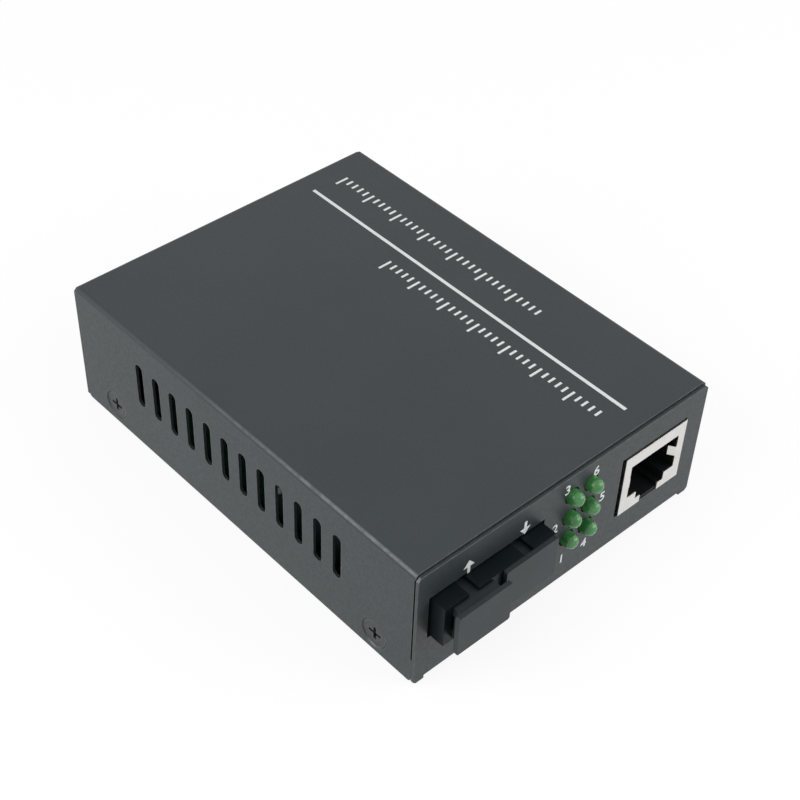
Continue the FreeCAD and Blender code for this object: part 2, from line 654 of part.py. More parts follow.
def make_rj45_insert():
    """The moulded housing inside the shield, with the plug's cavity and the contacts' passage."""
    body = new_body("rj45_insert")
    half = "jack_width / 2 - can - gap / 2"
    front, back = f"({JACK_FRONT} + can)", f"({JACK_BACK} - can - gap)"
    side = new_sketch(body, "housing_outline", "XZ", f"-{front}")
    rectangle(side, (f"jack_x - ({half})", f"jack_x + {half}"),
              (BOARD_TOP, f"{BOARD_TOP} + jack_height - can - gap / 2"))
    pad(body, "housing", side, f"{back} - {front}", backwards=True)
    cavity = new_sketch(body, "cavity_outline", "XZ", f"-{front}")
    mouth_outline(cavity, f"{BOARD_TOP} + latch_floor")
    pocket(body, "cavity", cavity, "socket_depth")
    passage = new_sketch(body, "passage_outline", "YZ", "jack_x")
    rear_tail, front_tail = CONTACT_TAILS
    under = "comb_high - comb_drop"
    outline(passage, [
        (f"{front} + mouth_wall", "mouth_high - gap"), (f"{front} + mouth_wall", "comb_high"),
        (f"{rear_tail} + wire", "comb_high"), (f"{rear_tail} + wire", f"{BOARD_TOP} - gap"),
        (f"{front_tail} - wire", f"{BOARD_TOP} - gap"), (f"{front_tail} - wire", under),
        (f"{front} + socket_depth - mouth_wall", under),
        (f"{front} + socket_depth - mouth_wall", "mouth_high - gap"),
    ])
    run = pocket(body, "contact_passage", passage, "comb_width")
    run.SideType = "Symmetric"
    doc.recompute()
    subpart(body, "rj45_insert")


def make_rj45_contacts():
    """Eight wires: up from the board, forward under the roof, and bent back down into the mouth."""
    turn, tip = f"{JACK_FRONT} + can + contact_turn", f"{JACK_FRONT} + contact_tip_y"
    tail, under = "board_low - pin_tail", "comb_high - wire"
    masters = [bent_wire(name, [
        (f"{y} + wire / 2", tail), (f"{y} + wire / 2", "comb_high"), (turn, "comb_high"),
        (turn, under), (tip, "contact_tip_z"), (tip, "contact_tip_z + wire"),
        (f"{turn} + 2 * wire", under), (f"{y} - wire / 2", under), (f"{y} - wire / 2", tail),
    ], "wire") for name, y in zip(("long_contact", "short_contact"), CONTACT_TAILS)]
    contacts = [copy(f"contact_{step}", masters[step % 2], x)
                for step, x in enumerate(CONTACT_COLUMNS)]
    subpart(group("contact_set", *contacts), "rj45_contacts")


# ---- the indicator lamps ----

LAMP_COLUMNS, LAMP_LINES, DOME_BANDS = 2, 3, 5
LEAD_COLUMNS = [f"lamp_x + {column} * lamp_pitch_x + {side} * lead_pitch / 2"
                for column in range(LAMP_COLUMNS) for side in (-1, 1)]
LEAD_LINES = [f"{LAMP_BACK} + holder_depth + lead_gap + {line} * lead_pitch"
              for line in range(LAMP_LINES)]


def make_lamps():
    """Six round lamps with domed ends and a rim at the back, revolved about the Z axis."""
    body = new_body("lamp")
    profile = new_sketch(body, "lamp_profile", "XZ")
    dome = [(f"lamp_radius * {math.cos(turn):.4f}",
             f"lamp_length + lamp_radius * {math.sin(turn) - 1:.4f}")
            for turn in (math.radians(step * 90 / DOME_BANDS) for step in range(DOME_BANDS))]
    outline(profile, [(0, 0), ("lamp_rim", 0), ("lamp_rim", "lamp_rim_thick"),
                      ("lamp_radius", "lamp_rim_thick")] + dome + [(0, "lamp_length")])
    turned = add_feature(body, "Revolution", "turned_lamp")
    turned.Profile = profile
    turned.ReferenceAxis = (profile, ["V_Axis"])
    doc.recompute()
    for column in range(LAMP_COLUMNS):
        for line in range(LAMP_LINES):
            number = column * LAMP_LINES + line + 1
            x, z = lamp_centre(column, line)
            lamp = copy(f"lamp_{number}", body, x, LAMP_BACK, z, "-y")
            subpart(group(f"placed_lamp_{number}", lamp), f"led_{number}")


def make_lamp_holder():
    """The block behind the lamps, slotted for their leads, and the twelve bent leads."""
    body = new_body("led_holder")
    centre = "lamp_x + lamp_pitch_x / 2"
    foot = new_sketch(body, "holder_outline", "XY", BOARD_TOP)
    rectangle(foot, (f"{centre} - holder_width / 2", f"{centre} + holder_width / 2"),
              (LAMP_BACK, f"{LAMP_BACK} + holder_depth"))
    pad(body, "holder", foot, f"holder_high - {BOARD_TOP}")
    slots = new_sketch(body, "lead_slots", "XZ", f"-{LAMP_BACK}")
    for x in LEAD_COLUMNS:
        rectangle(slots, (f"{x} - lead_width / 2 - gap", f"{x} + lead_width / 2 + gap"),
                  ("lamp_z - holder_wall", "holder_high - holder_wall"))
    pocket(body, "lead_passages", slots, "holder_depth")
    subpart(body, "led_holder")

    leads, tail, half = [], "board_low - pin_tail", "lead_width / 2"
    for line, y in enumerate(LEAD_LINES):
        _, z = lamp_centre(0, line)
        lead = bent_wire(f"lead_line_{line}", [
            (f"{y} + {half}", tail), (f"{y} + {half}", f"{z} + {half}"), (LAMP_BACK, f"{z} + {half}"),
            (LAMP_BACK, f"{z} - {half}"), (f"{y} - {half}", f"{z} - {half}"), (f"{y} - {half}", tail),
        ], "lead_width")
        leads += [copy(f"lead_{line}_{place_number}", lead, x)
                  for place_number, x in enumerate(LEAD_COLUMNS)]
    subpart(group("lead_set", *leads), "led_leads")


# ---- the duplex optical module ----

MODULE_PIN_Y = f"({NOSE_FRONT} + module_depth - module_pin_back)"
MODULE_STEPS = range(-4, 5)  # nine pins, one on the middle line
STUD_Y = f"({NOSE_FRONT} + stud_back)"
STUD_COLUMNS = [f"optic_x {side} (nose_width / 2 - stud_inset)" for side in "+-"]
TX_X = "(optic_x - optic_pitch / 2)"
RX_X = "(optic_x + optic_pitch / 2)"
OPTIC_TOP = "(optic_z + nose_height / 2)"


def make_transceiver_housing():
    """The moulded body with two square fibre ports side by side, each with a keyway in its roof."""
    body = new_body("transceiver_housing")
    left, right = "optic_x - nose_width / 2", "optic_x + nose_width / 2"
    nose = new_sketch(body, "nose_outline", "XZ", f"-{NOSE_FRONT}")
    rectangle(nose, (left, right), ("optic_z - nose_height / 2", OPTIC_TOP))
    pad(body, "nose", nose, "nose_depth", backwards=True)
    rear = new_sketch(body, "rear_outline", "XZ", f"-({NOSE_FRONT} + nose_depth)")
    rectangle(rear, (left, right), ("module_low", OPTIC_TOP))
    pad(body, "rear_body", rear, "module_depth - nose_depth", backwards=True)

    mouth = new_sketch(body, "port_mouth", "XZ", f"-{NOSE_FRONT}")
    port_z = ("optic_z - port_height / 2", "optic_z + port_height / 2")
    rectangle(mouth, (f"{TX_X} - port_width / 2", f"{TX_X} + port_width / 2"), port_z)
    entry = pocket(body, "port_entry", mouth, "port_lip")
    inside = new_sketch(body, "port_inside", "XZ", f"-({NOSE_FRONT} + port_lip)")
    rectangle(inside, (f"{TX_X} - port_inside / 2", f"{TX_X} + port_inside / 2"), port_z)
    chamber = pocket(body, "port_chamber", inside, "port_depth - port_lip")
    notch = new_sketch(body, "keyway_outline", "XY", OPTIC_TOP)
    rectangle(notch, (f"{TX_X} - keyway_width / 2", f"{TX_X} + keyway_width / 2"),
              (f"{NOSE_FRONT} - gap", f"{NOSE_FRONT} + keyway_depth"))
    keyway = pocket(body, "keyway", notch, "(nose_height - port_height) / 2 + gap")
    pattern(body, "second_port", [entry, chamber, keyway], "X", "optic_pitch", 2)
    subpart(body, "transceiver_housing")


def make_port_fittings():
    """For each port, the hooks that hold a fibre plug and the sleeve that its ferrule enters."""
    body = new_body("latch_insert")
    plate = new_sketch(body, "plate_outline", "XZ", f"-{PORT_BACK}")
    half_width, half_height = "port_inside / 2 - gap", "port_height / 2 - gap"
    rectangle(plate, (f"-({half_width})", half_width),
              (f"optic_z - ({half_height})", f"optic_z + {half_height}"))
    pad(body, "plate", plate, "hook_plate")
    hole = new_sketch(body, "sleeve_hole", "XZ", f"-{PORT_BACK} + 2 * hook_plate")
    circle(hole, 0, "optic_z", "sleeve_radius + gap / 2")
    pocket(body, "sleeve_passage", hole, "3 * hook_plate")
    arm = new_sketch(body, "hook_outline", "XY", "optic_z")
    outer, tip = half_width, f"{PORT_BACK} - hook_length"
    outline(arm, [
        (outer, f"{PORT_BACK} - hook_plate"), (outer, tip), (f"{outer} - hook_arm / 2", tip),
        ("hook_reach", f"{tip} + hook_tip"), (f"{outer} - hook_arm", f"{tip} + hook_tip"),
        (f"{outer} - hook_arm", f"{PORT_BACK} - hook_plate"),
    ])
    hook = pad(body, "hook", arm, "hook_height", midplane=True)
    mirror(body, "both_hooks", [hook], "YZ")

    outside = rod("sleeve_outside", (0, PORT_BACK, "optic_z"), "-y", "sleeve_radius", "sleeve_length")
    bore = rod("sleeve_bore", (0, f"{PORT_BACK} + gap", "optic_z"), "-y", "ferrule_radius",
               "sleeve_length + 2 * gap")
    sleeve = cut("sleeve", outside, bore)
    for port, x in (("tx", TX_X), ("rx", RX_X)):
        insert = copy(port + "_hooks", body, x)
        subpart(group(port + "_placed_hooks", insert), port + "_latch_insert")
        tube = copy(port + "_sleeve", sleeve, x)
        subpart(group(port + "_placed_sleeve", tube), port + "_ferrule_sleeve")


def make_module_pins():
    """Nine electrical pins in a row at the module's rear, and the two studs that carry it."""
    tail = "board_low - pin_tail"
    pins = []
    for step in MODULE_STEPS:
        x = f"optic_x + {step} * module_pin_pitch"
        pins.append(block(f"module_pin_{step + 5}", (f"{x} - pin_width / 2", f"{x} + pin_width / 2"),
                          (f"{MODULE_PIN_Y} - pin_width / 2", f"{MODULE_PIN_Y} + pin_width / 2"),
                          (tail, "module_low")))
    subpart(group("module_pin_set", *pins), "transceiver_pins")
    studs = [rod(f"module_stud_{number}", (x, STUD_Y, tail), "+z", "stud_radius",
                 f"module_low - ({tail})") for number, x in enumerate(STUD_COLUMNS)]
    subpart(group("module_stud_set", *studs), "transceiver_studs")


def make_dust_plugs():
    """Two like plugs: a flat flange and a square hollow stem, slotted where the port's hooks are.

    The master's stem points to +Y from the back of its flange at y = 0.
    """
    body = new_body("dust_plug")
    half_flange, half_height = "plug_flange_width / 2", "nose_height / 2"
    flange = new_sketch(body, "flange_outline", "XZ")
    rectangle(flange, (f"-{half_flange}", half_flange), (f"-{half_height}", half_height))
    run = pad(body, "flange", flange, "plug_flange")
    round_edges(body, "flange_corners", run, "plug_flange / 2",
                edges_at(run, x=half_flange, z=half_height))
    half_stem, half_tall = "port_width / 2 - plug_clearance", "port_height / 2 - plug_clearance"
    stem = new_sketch(body, "stem_outline", "XZ")
    rectangle(stem, (f"-({half_stem})", half_stem), (f"-({half_tall})", half_tall))
    pad(body, "stem", stem, "plug_stem", backwards=True)
    hollow = new_sketch(body, "hollow_outline", "XZ")
    rectangle(hollow, (f"-({half_stem} - plug_wall)", f"{half_stem} - plug_wall"),
              (f"-({half_tall} - plug_wall)", f"{half_tall} - plug_wall"))
    pocket(body, "hollow", hollow, "plug_stem")
    slots = new_sketch(body, "hook_slots", "YZ")
    rectangle(slots, ("plug_slot_start", "plug_stem + gap"),
              ("-plug_slot_height / 2", "plug_slot_height / 2"))
    pocket(body, "hook_clearance", slots)
    for port, x, pulled in (("tx", TX_X, "plug_pulled"), ("rx", RX_X, "0")):
        plug = copy(port + "_plug", body, x, f"{NOSE_FRONT} - plug_gap - {pulled}", "optic_z")
        subpart(group(port + "_placed_plug", plug), port + "_dust_plug")


# ---- the power inlet ----

POWER_Z = f"({BOARD_TOP} + power_rise)"
POWER_FACE = "(case_depth / 2 - steel - gap)"
POWER_BACK = f"({POWER_FACE} - power_depth)"
POWER_TABS = [
    ("power_x", f"({POWER_BACK} + power_tab_rear)", "power_tab", "power_tab_thick"),
    ("power_x", f"({POWER_BACK} + power_tab_front)", "power_tab", "power_tab_thick"),
    ("(power_x - power_width / 2 + power_tab_inset)", f"({POWER_BACK} + power_tab_side)",
     "power_tab_thick", "power_tab"),
]


def make_power_inlet():
    """The moulded barrel socket behind the rear panel, its centre pin and its three board tabs."""
    body = new_body("dc_jack_body")
    half = "power_width / 2"
    face = new_sketch(body, "face_outline", "XZ", f"-{POWER_FACE}")
    rectangle(face, (f"power_x - {half}", f"power_x + {half}"),
              (BOARD_TOP, f"{BOARD_TOP} + power_height"))
    pad(body, "face", face, "power_face")
    shell = new_sketch(body, "shell_outline", "XZ", f"-{POWER_FACE} + power_face")
    rectangle(shell, (f"power_x - {half} + gap", f"power_x + {half} - gap"),
              (BOARD_TOP, f"{POWER_Z} + {half} - gap"))
    run = pad(body, "shell", shell, "power_depth - power_face")
    round_edges(body, "shell_crown", run, f"{half} - 2 * gap",
                [name for name in edges_at(run, z=f"{POWER_Z} + {half} - gap")
                 if name in lengthwise_edges(run)])
    bore = new_sketch(body, "bore_outline", "XZ", f"-{POWER_FACE}")
    circle(bore, "power_x", POWER_Z, "power_bore")
    pocket(body, "bore", bore, "power_bore_depth", forwards=True)
    subpart(body, "dc_jack_body")

    length = "power_bore_depth - power_pin_sunk"
    pin = rod("centre_pin", ("power_x", f"{POWER_FACE} - power_bore_depth", POWER_Z), "+y",
              "power_pin", length)
    subpart(pin, "dc_jack_pin")

    tabs = []
    for number, (x, y, across, along) in enumerate(POWER_TABS):
        tabs.append(block(f"power_tab_{number}", (f"{x} - {across} / 2", f"{x} + {across} / 2"),
                          (f"{y} - {along} / 2", f"{y} + {along} / 2"),
                          ("board_low - pin_tail", BOARD_TOP)))
    subpart(group("power_tab_set", *tabs), "dc_jack_terminals")


# ---- the electronics ----

CHIP_LEADS = 12  # on each side of the switch chip


def chip(name, x, y, width, depth, height):
    """A moulded package that stands clear of the board by the height of its leads."""
    body = block(name, (f"{x} - {width} / 2", f"{x} + {width} / 2"),
                 (f"{y} - {depth} / 2", f"{y} + {depth} / 2"),
                 (f"{BOARD_TOP} + stand_off", f"{BOARD_TOP} + stand_off + {height}"))
    bevelled = doc.addObject("Part::Chamfer", name + "_bevelled")
    bevelled.Base = body
    doc.recompute()
    top = value(f"{BOARD_TOP} + stand_off + {height}")
    size = value("stand_off")
    bevelled.Edges = [(number, size, size) for number, edge in enumerate(body.Shape.Edges, start=1)
                      if abs(edge.CenterOfMass.z - top) < 0.01]
    return bevelled


def flat_leads(name, x, y, half, pitch, count, along_x):
    """Two rows of flat leads outside a package, at half its width to each side of its centre."""
    leads = []
    for side in (-1, 1):
        near, far = f"{side} * {half}", f"{side} * ({half} + lead_reach)"
        reach = (near, far) if side > 0 else (far, near)
        for step in range(count):
            middle = f"({step} - {(count - 1) / 2}) * {pitch}"
            spread = (f"{middle} - lead_thick", f"{middle} + lead_thick")
            across, along = (spread, reach) if along_x else (reach, spread)
            leads.append(block(f"{name}_{side}_{step}",
                               (f"{x} + {across[0]}", f"{x} + {across[1]}"),
                               (f"{y} + {along[0]}", f"{y} + {along[1]}"),
                               (BOARD_TOP, f"{BOARD_TOP} + lead_thick")))
    return leads


def make_chips():
    """The switch chip, the network transformer and the voltage regulator, with their leads."""
    subpart(chip("switch", "chip_x", "chip_y", "chip_side", "chip_side", "chip_height"),
            "switch_chip")
    leads = flat_leads("switch_x_lead", "chip_x", "chip_y", "chip_side / 2", "chip_lead_pitch",
                       CHIP_LEADS, along_x=True)
    leads += flat_leads("switch_y_lead", "chip_x", "chip_y", "chip_side / 2", "chip_lead_pitch",
                        CHIP_LEADS, along_x=False)
    leads += flat_leads("coil_lead", "coil_x", "coil_y", "coil_width / 2", "coil_lead_pitch", 8,
                        along_x=False)
    leads += flat_leads("regulator_lead", "regulator_x", "regulator_y", "regulator_width / 2",
                        "regulator_lead_pitch", 3, along_x=False)
    subpart(group("lead_frame", *leads), "chip_leads")
    subpart(chip("coil", "coil_x", "coil_y", "coil_width", "coil_depth", "coil_height"),
            "network_transformer")
    subpart(chip("regulator", "regulator_x", "regulator_y", "regulator_width", "regulator_depth",
                 "regulator_height"), "voltage_regulator")


def make_crystal():
    """A pressed can with round ends, on a thin wider rim."""
    body = new_body("crystal")
    for name, grow, low, height in (
            ("rim", "crystal_rim", BOARD_TOP, "crystal_rim"),
            ("can", "0", f"{BOARD_TOP} + crystal_rim", "crystal_height")):
        flat = new_sketch(body, name + "_outline", "XY", low)
        upright_slot(flat, "crystal_x", f"crystal_y - crystal_length / 2 - {grow}",
                     f"crystal_width + 2 * {grow}", f"crystal_length + 2 * {grow}")
        pad(body, "crystal_" + name, flat, height)
    subpart(body, "crystal")


def make_capacitors():
    """Two upright cans, each with a crimp above its base, turned about the Z axis."""
    body = new_body("tank")
    profile = new_sketch(body, "tank_profile", "XZ")
    waist = "tank_radius - tank_crimp"
    outline(profile, [
        (0, 0), ("tank_radius", 0), ("tank_radius", "tank_groove - tank_crimp"),
        (waist, "tank_groove"), ("tank_radius", "tank_groove + tank_crimp"),
        ("tank_radius", "tank_height - tank_crimp"), (waist, "tank_height"), (0, "tank_height"),
    ])
    turned = add_feature(body, "Revolution", "turned_tank")
    turned.Profile = profile
    turned.ReferenceAxis = (profile, ["V_Axis"])
    doc.recompute()
    cans = [copy(f"tank_{step}", body, "tank_x", f"tank_y + {step} * tank_pitch", BOARD_TOP)
            for step in range(2)]
    subpart(group("tank_set", *cans), "electrolytic_capacitors")


def make_inductor():
    """A square moulded coil with a round button on top."""
    base = block("inductor_base", ("inductor_x - inductor_side / 2", "inductor_x + inductor_side / 2"),
                 ("inductor_y - inductor_side / 2", "inductor_y + inductor_side / 2"),
                 (BOARD_TOP, f"{BOARD_TOP} + inductor_height"))
    button = rod("inductor_top", ("inductor_x", "inductor_y", BOARD_TOP), "+z", "inductor_button",
                 "inductor_height + small_height")
    subpart(join("inductor_body", base, button), "power_inductor")


def small_parts(label, x, y, height, columns, lines):
    """A field of small soldered blocks, one group."""
    blocks = []
    for column in range(columns):
        for line in range(lines):
            middle = (f"{x} + {column} * small_pitch", f"{y} + {line} * 1.5 * small_pitch")
            blocks.append(block(f"{label}_{column}_{line}",
                                (f"{middle[0]} - small_width / 2", f"{middle[0]} + small_width / 2"),
                                (f"{middle[1]} - small_length / 2", f"{middle[1]} + small_length / 2"),
                                (BOARD_TOP, f"{BOARD_TOP} + {height}")))
    subpart(group(label + "_field", *blocks), label)


make_base_tray()
make_top_cover()
make_cover_screws()
make_circuit_board()
make_board_fixings()
make_rj45_shield()
make_rj45_insert()
make_rj45_contacts()
make_lamps()
make_lamp_holder()
make_transceiver_housing()
make_port_fittings()
make_module_pins()
make_dust_plugs()
make_power_inlet()
make_chips()
make_crystal()
make_capacitors()
make_inductor()
small_parts("chip_resistors", "resistor_x", "resistor_y", "small_height", 5, 3)
small_parts("chip_capacitors", "ceramic_x", "ceramic_y", "ceramic_height", 4, 3)
doc.recompute()

failed = [thing.Name for thing in doc.Objects if {"Invalid", "Error"} & set(thing.State)]
if failed:
    raise RuntimeError("failed to build: " + ", ".join(failed))
for thing in subparts:
    if thing.Shape.isNull() or not thing.Shape.isValid():
        raise RuntimeError("not a sound shape: " + thing.Label)

os.makedirs("parts", exist_ok=True)
for thing in subparts:
    thing.Shape.exportStep(f"parts/{thing.Label}.step")
    box = thing.Shape.BoundBox
    print(f"{thing.Label:24s} {len(thing.Shape.Solids):3d} solids {thing.Shape.Volume:9.2f} mm3 "
          f"x {box.XMin:.2f} {box.XMax:.2f} y {box.YMin:.2f} {box.YMax:.2f} "
          f"z {box.ZMin:.2f} {box.ZMax:.2f}")
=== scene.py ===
"""Looks of a desktop fibre media converter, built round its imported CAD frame.

Lengths are in millimetres and scaled by MM, apart from those of the floor and the lamps, which
are in metres.
"""

import json
import math

import bpy
import bmesh
from mathutils import Matrix, Vector


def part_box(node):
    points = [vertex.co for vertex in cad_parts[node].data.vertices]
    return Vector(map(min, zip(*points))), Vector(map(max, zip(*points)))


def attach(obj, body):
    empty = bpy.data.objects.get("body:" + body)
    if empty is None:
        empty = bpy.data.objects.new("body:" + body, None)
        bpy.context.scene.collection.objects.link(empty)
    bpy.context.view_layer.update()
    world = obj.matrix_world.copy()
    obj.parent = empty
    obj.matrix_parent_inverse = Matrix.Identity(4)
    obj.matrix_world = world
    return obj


MM = 0.001
CONVERTER = "converter"  # the body that every printed mark rides on

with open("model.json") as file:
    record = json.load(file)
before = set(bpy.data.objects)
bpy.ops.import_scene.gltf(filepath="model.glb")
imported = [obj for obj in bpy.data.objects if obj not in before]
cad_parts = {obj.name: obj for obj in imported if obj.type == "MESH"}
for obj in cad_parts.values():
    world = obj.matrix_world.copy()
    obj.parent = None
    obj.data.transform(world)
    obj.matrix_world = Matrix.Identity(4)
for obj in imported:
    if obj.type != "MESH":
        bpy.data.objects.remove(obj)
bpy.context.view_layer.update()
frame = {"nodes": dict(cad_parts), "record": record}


# ---------------------------------------------------------------- node helpers

SCUFF_AND_HIGHLIGHT_SPAN = 90  # about the length of the case, along which the scuffing and the painted highlight on the bends are graded
MIX_FACTOR, MIX_FIRST, MIX_SECOND, MIX_COLOUR = 0, 6, 7, 2  # sockets of a Mix node set to colours
BEVEL_SAMPLES = 4


class Shader:
    """One Principled material under construction, with short calls for its nodes."""

    def __init__(self, name):
        self.material = bpy.data.materials.new(name)
        self.material.use_nodes = True
        self.tree = self.material.node_tree
        self.tree.nodes.clear()
        self.output = self.node("ShaderNodeOutputMaterial")
        self.surface = self.node("ShaderNodeBsdfPrincipled")
        self.link(self.surface.outputs["BSDF"], self.output.inputs["Surface"])
        self.coordinates = self.node("ShaderNodeTexCoord")
        self.position = self.coordinates.outputs["Object"]

    def node(self, kind, **settings):
        made = self.tree.nodes.new(kind)
        for key, setting in settings.items():
            setattr(made, key, setting)
        return made

    def link(self, source, target):
        self.tree.links.new(source, target)

    def fixed(self, **values):
        """Sets sockets of the surface shader to plain values, such as specular_ior_level=0.4."""
        for key, setting in values.items():
            socket = key.replace("_", " ").title().replace("Ior", "IOR")
            self.surface.inputs[socket].default_value = setting

    def noise(self, size_mm, detail=2.0, stretch=(1, 1, 1), roughness=0.5):
        """Noise whose features are about size_mm across."""
        mapping = self.node("ShaderNodeMapping")
        mapping.inputs["Scale"].default_value = [axis / (size_mm * MM) for axis in stretch]
        self.link(self.position, mapping.inputs["Vector"])
        texture = self.node("ShaderNodeTexNoise")
        texture.inputs["Scale"].default_value = 1.0
        texture.inputs["Detail"].default_value = detail
        texture.inputs["Roughness"].default_value = roughness
        self.link(mapping.outputs["Vector"], texture.inputs["Vector"])
        return texture.outputs["Fac"]

    def ramp(self, factor, *stops):
        """A colour ramp; each stop is (place, colour or grey)."""
        ramp = self.node("ShaderNodeValToRGB")
        elements = ramp.color_ramp.elements
        while len(elements) < len(stops):
            elements.new(0.5)
        for element, (place, colour) in zip(elements, stops):
            element.position = place
            grey = isinstance(colour, (int, float))
            element.color = (colour,) * 3 + (1,) if grey else tuple(colour) + (1,)
        self.link(factor, ramp.inputs["Fac"])
        return ramp.outputs["Color"]

    def mix(self, factor, first, second, kind="MIX"):
        """Mixes two colours; each is a socket or a colour."""
        mixer = self.node("ShaderNodeMix", data_type="RGBA", blend_type=kind)
        for socket, what in ((MIX_FACTOR, factor), (MIX_FIRST, first), (MIX_SECOND, second)):
            if isinstance(what, bpy.types.NodeSocket):
                self.link(what, mixer.inputs[socket])
            else:
                plain = what if socket == MIX_FACTOR else tuple(what) + (1,)
                mixer.inputs[socket].default_value = plain
        return mixer.outputs[MIX_COLOUR]

    def maths(self, kind, first, second=0.0):
        """One step of arithmetic; each of first and second is a socket or a number."""
        mathematics = self.node("ShaderNodeMath", operation=kind)
        for socket, what in enumerate((first, second)):
            if isinstance(what, bpy.types.NodeSocket):
                self.link(what, mathematics.inputs[socket])
            else:
                mathematics.inputs[socket].default_value = what
        return mathematics.outputs[0]

    def colour(self, socket):
        """Paints the surface from a colour socket."""
        self.link(socket, self.surface.inputs["Base Color"])

    def rough(self, socket):
        """Takes the roughness from a grey socket."""
        self.link(socket, self.surface.inputs["Roughness"])

    def relief(self, height, depth_mm, strength=1.0, edge_mm=0.0):
        """Bump of depth_mm from a height socket; edge_mm softens the shading of sharp edges."""
        bump = self.node("ShaderNodeBump")
        bump.inputs["Strength"].default_value = strength
        bump.inputs["Distance"].default_value = depth_mm * MM
        self.link(height, bump.inputs["Height"])
        if edge_mm:
            self.link(self.rounded(edge_mm), bump.inputs["Normal"])
        self.link(bump.outputs["Normal"], self.surface.inputs["Normal"])

    def rounded(self, radius_mm):
        """The normal that the surface would have with its sharp edges rounded to radius_mm."""
        bevel = self.node("ShaderNodeBevel", samples=BEVEL_SAMPLES)
        bevel.inputs["Radius"].default_value = radius_mm * MM
        return bevel.outputs["Normal"]

    def edges(self, radius_mm):
        """How far the rounded normal leans from the true one: 0 away from sharp edges."""
        rounded = self.rounded(radius_mm)
        dot = self.node("ShaderNodeVectorMath", operation="DOT_PRODUCT")
        self.link(rounded, dot.inputs[0])
        self.link(self.node("ShaderNodeNewGeometry").outputs["Normal"], dot.inputs[1])
        return self.maths("SUBTRACT", 1.0, dot.outputs["Value"])

    def bends(self):
        """1 on the cover's two long bends, whose normals lean halfway up, and 0 on flat faces."""
        parts = self.node("ShaderNodeSeparateXYZ")
        self.link(self.coordinates.outputs["Normal"], parts.inputs[0])
        sideways = self.maths("ABSOLUTE", parts.outputs["X"])
        lean = self.maths("MULTIPLY", sideways, parts.outputs["Z"])
        return self.ramp(lean, (0.34, 0.0), (0.49, 1.0))  # lean is 0.5 at 45 degrees, its most

    def towards_front(self):
        """1 at the front of the case, falling to 0 past its middle: the front, which is handled
        most, gets the most scuffing and also the strongest painted highlight along the bends.
        """
        parts = self.node("ShaderNodeSeparateXYZ")
        self.link(self.position, parts.inputs[0])
        share = self.maths("MULTIPLY", parts.outputs["Y"], -1 / (SCUFF_AND_HIGHLIGHT_SPAN * MM))
        place = self.maths("ADD", share, 0.5)  # 0 at the rear end of the span, 1 at its front end
        return self.ramp(place, (0.3, 0.0), (0.85, 1.0))


def scaled(colour, factor):
    """A lighter or darker shade of a colour."""
    return tuple(min(1.0, part * factor) for part in colour)


# ---------------------------------------------------------------- materials


def powder_coat(name, colour, pale_scuff_and_highlight, gloss):
    """Satin powder coat on steel: orange peel, a fine speckle, and paler edges and bends, partly
    scuffed paint and partly painted highlight.
    """
    shader = Shader(name)
    shader.fixed(specular_ior_level=0.42)
    peel = shader.noise(0.55, 2.0)
    speckle = shader.noise(0.16, 1.0)
    cloud = shader.noise(22.0, 3.0)
    tone = shader.ramp(cloud, (0.35, scaled(colour, 0.9)), (0.65, scaled(colour, 1.12)))
    grain = shader.ramp(speckle, (0.38, scaled(colour, 0.72)), (0.62, scaled(colour, 1.3)))
    body = shader.mix(0.45, tone, grain)
    # sharp edges paler: partly scuffed paint, partly a painted highlight line along them
    edge_scuff_and_highlight = shader.ramp(shader.edges(0.28), (0.02, 0.0), (0.18, 1.0))
    patchy = shader.ramp(shader.noise(1.1, 3.0), (0.36, 0.3), (0.66, 0.8))
    # painted highlight along the two long bends, strongest at the front, mixed with scuffing there
    bend_scuff_and_highlight = shader.mix(1.0, shader.bends(), shader.towards_front(), "MULTIPLY")
    # the mask of scuffing and painted highlight, broken up by patchy noise, paints the pale colour
    scuff_and_highlight = shader.mix(1.0, shader.mix(1.0, edge_scuff_and_highlight, bend_scuff_and_highlight, "LIGHTEN"), patchy, "MULTIPLY")
    shader.colour(shader.mix(scuff_and_highlight, body, pale_scuff_and_highlight))
    shader.rough(shader.ramp(peel, (0.3, gloss - 0.05), (0.7, gloss + 0.07)))
    height = shader.maths("ADD", peel, shader.maths("MULTIPLY", speckle, 0.35))
    shader.relief(height, 0.02, 0.55, edge_mm=0.12)
    return shader.material


def moulded(name, colour, gloss, grain_mm=0.22, depth_mm=0.012, shine=0.5):
    """Moulded plastic: spark-eroded grain, faint flow clouds and softly broken edges."""
    shader = Shader(name)
    shader.fixed(specular_ior_level=shine)
    grain = shader.noise(grain_mm, 2.0)
    cloud = shader.noise(5.0, 3.0)
    tone = shader.ramp(cloud, (0.35, scaled(colour, 0.86)), (0.65, scaled(colour, 1.14)))
    speckle = shader.ramp(grain, (0.35, scaled(colour, 0.75)), (0.65, scaled(colour, 1.3)))
    shader.colour(shader.mix(0.35, tone, speckle))
    shader.rough(shader.ramp(grain, (0.3, gloss - 0.06), (0.7, gloss + 0.08)))
    shader.relief(grain, depth_mm, 0.6, edge_mm=0.08)
    return shader.material


def metal(name, colour, gloss, brushed=(1, 1, 1), scratch_mm=0.25, tarnish=None):
    """Bare or plated metal: drawn or brushed marks, slight tarnish clouds."""
    shader = Shader(name)
    shader.fixed(metallic=1.0)
    marks = shader.noise(scratch_mm, 3.0, brushed, 0.65)
    cloud = shader.noise(2.4, 3.0)
    tint = tarnish or scaled(colour, 0.82)
    body = shader.ramp(cloud, (0.3, tint), (0.7, colour))
    drawn = shader.ramp(marks, (0.35, scaled(colour, 0.78)), (0.65, colour))
    shader.colour(shader.mix(0.3, body, drawn))
    shader.rough(shader.ramp(marks, (0.3, gloss - 0.08), (0.7, gloss + 0.1)))
    shader.relief(marks, 0.004, 0.5, edge_mm=0.05)
    return shader.material


